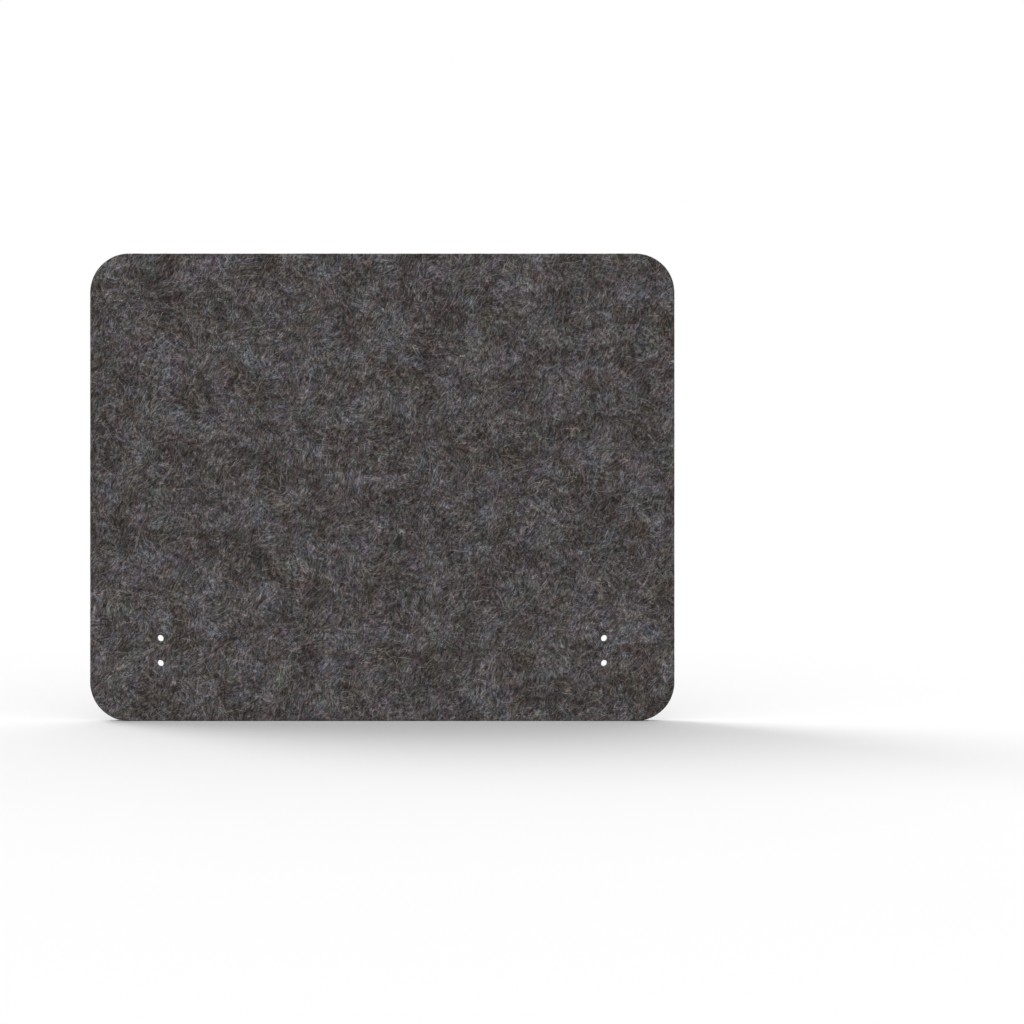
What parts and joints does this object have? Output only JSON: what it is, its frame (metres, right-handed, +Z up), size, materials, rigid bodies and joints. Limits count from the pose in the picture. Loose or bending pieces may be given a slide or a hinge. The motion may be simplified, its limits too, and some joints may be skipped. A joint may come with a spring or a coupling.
{
  "type": "desk divider screen",
  "caption": "Upright pressed-felt desk screen, a bonded board with rounded corners and paired bracket holes near its lower corners.",
  "frame": {"origin": "middle of the board's lower edge, halfway through its thickness, on the surface that it stands on", "axes": "+X along the board's width, to the right seen from the front; +Y through its thickness, from the front to the rear; +Z up"},
  "size_m": [0.75, 0.012, 0.6],
  "materials": {
    "face_felt": "needled polyester felt, matt, mottled anthracite",
    "core_felt": "densely pressed polyester fibre, matt, dark anthracite",
    "bond_film": "melted adhesive film, dark",
    "sleeve_nylon": "moulded nylon, black, satin"
  },
  "bodies": {
    "root": {"front_felt": "face_felt", "front_bond_film": "bond_film", "core_board": "core_felt", "rear_bond_film": "bond_film", "rear_felt": "face_felt", "sleeve_upper_left": "sleeve_nylon", "sleeve_lower_left": "sleeve_nylon", "sleeve_upper_right": "sleeve_nylon", "sleeve_lower_right": "sleeve_nylon"}
  },
  "joints": []
}
